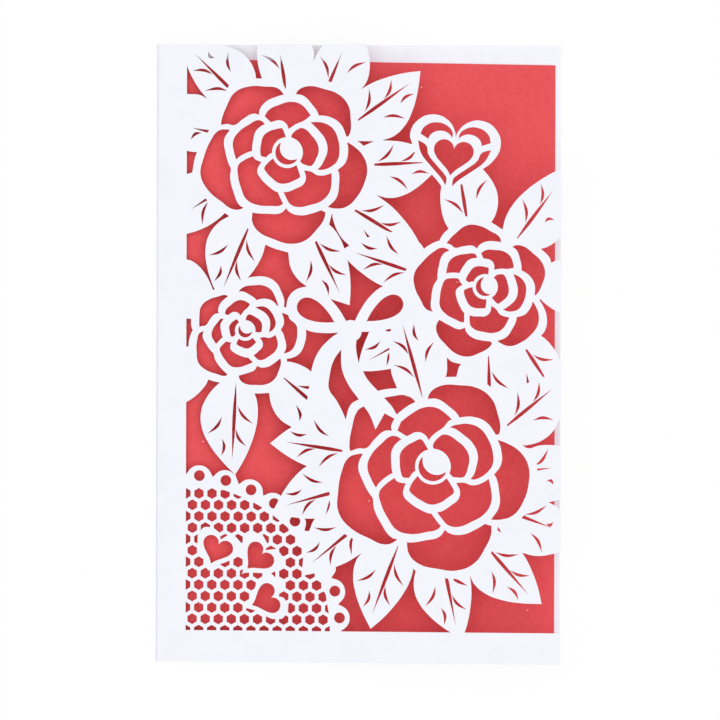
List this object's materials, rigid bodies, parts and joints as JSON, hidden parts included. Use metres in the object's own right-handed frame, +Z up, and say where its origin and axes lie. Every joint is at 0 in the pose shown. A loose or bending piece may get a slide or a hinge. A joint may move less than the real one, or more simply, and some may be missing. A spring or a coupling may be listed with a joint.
{
  "type": "greeting card",
  "caption": "Folded white greeting card lying on its back, with a laser-cut openwork cover of roses, leaves, hearts and lace over a white insert and a red sheet.",
  "frame": {"origin": "middle of the card's footprint, on the surface that its back panel lies on", "axes": "+X from the fold to the free edge, +Y to the top of the card, +Z up, from the back panel to the cover"},
  "size_m": [0.12, 0.183, 0.0109],
  "materials": {
    "white_card": "smooth matt",
    "insert_paper": "matt",
    "red_paper": "matt"
  },
  "bodies": {
    "root": {"folded_card": "white_card", "insert_sheet": "insert_paper", "red_sheet": "red_paper"}
  },
  "joints": []
}
